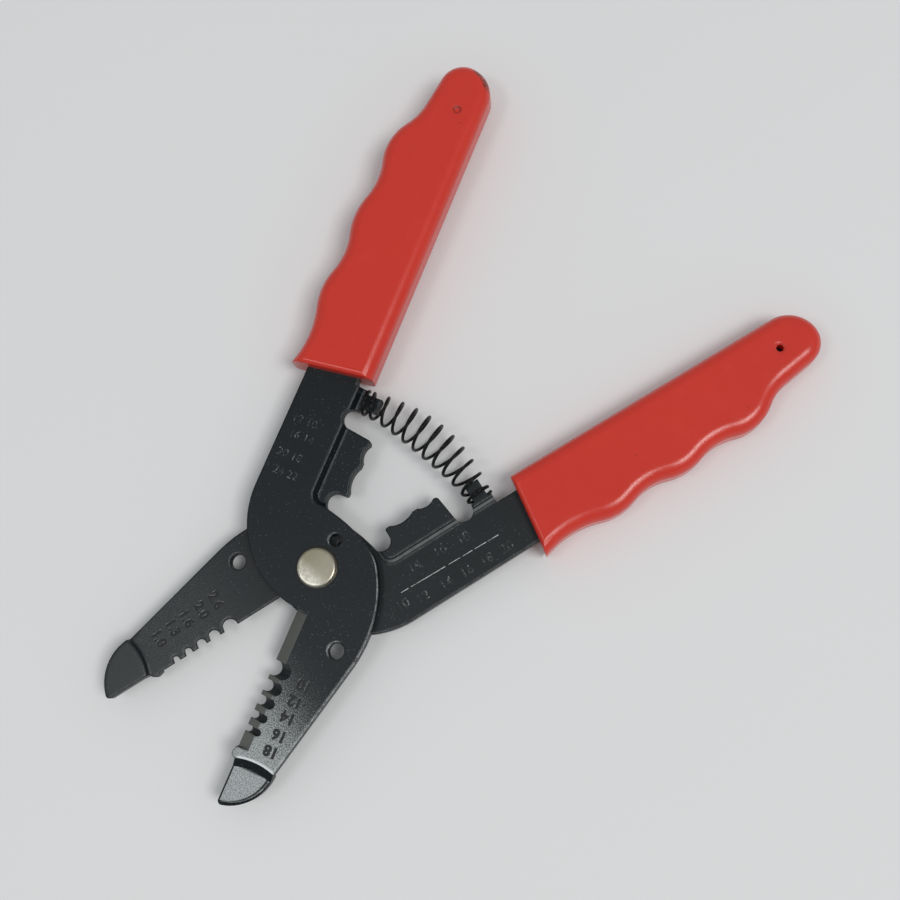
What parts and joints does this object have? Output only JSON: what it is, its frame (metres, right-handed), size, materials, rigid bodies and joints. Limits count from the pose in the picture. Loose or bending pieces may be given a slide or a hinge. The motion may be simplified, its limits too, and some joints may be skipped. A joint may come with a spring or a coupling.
{
  "type": "wire stripper",
  "caption": "Hand wire stripper: crossed stamped levers on a rivet, notched stripping jaws, plier nose, crimping lobes, bowed coil return spring and scalloped sleeve grips.",
  "frame": {"origin": "centre of the pivot rivet's formed rear head, on its outer face", "axes": "+Z along the rivet towards its front head, +Y along the tool's centre line towards the handles, +X towards the upper lever's jaw"},
  "size_m": [0.1094, 0.1655, 0.0119],
  "materials": {
    "black_steel": "black oxide with ground edges",
    "rivet_steel": "turned, satin",
    "spring_steel": "drawn wire, oil-blackened",
    "grip_red": "moulded, semi-gloss"
  },
  "bodies": {
    "lower_half": {"lower_lever": "black_steel", "pivot_rivet": "rivet_steel", "lower_grip": "grip_red", "return_spring": "spring_steel"},
    "upper_half": {"upper_lever": "black_steel", "upper_grip": "grip_red"}
  },
  "joints": [
    {"name": "pivot", "type": "hinge", "parent": "lower_half", "child": "upper_half", "pos_m": [0, 0, 0.005], "axis": [0, 0, -1], "range_deg": [0, 35.5], "stiffness_Nm_per_rad": 0.45, "deforming": ["return_spring"]}
  ]
}
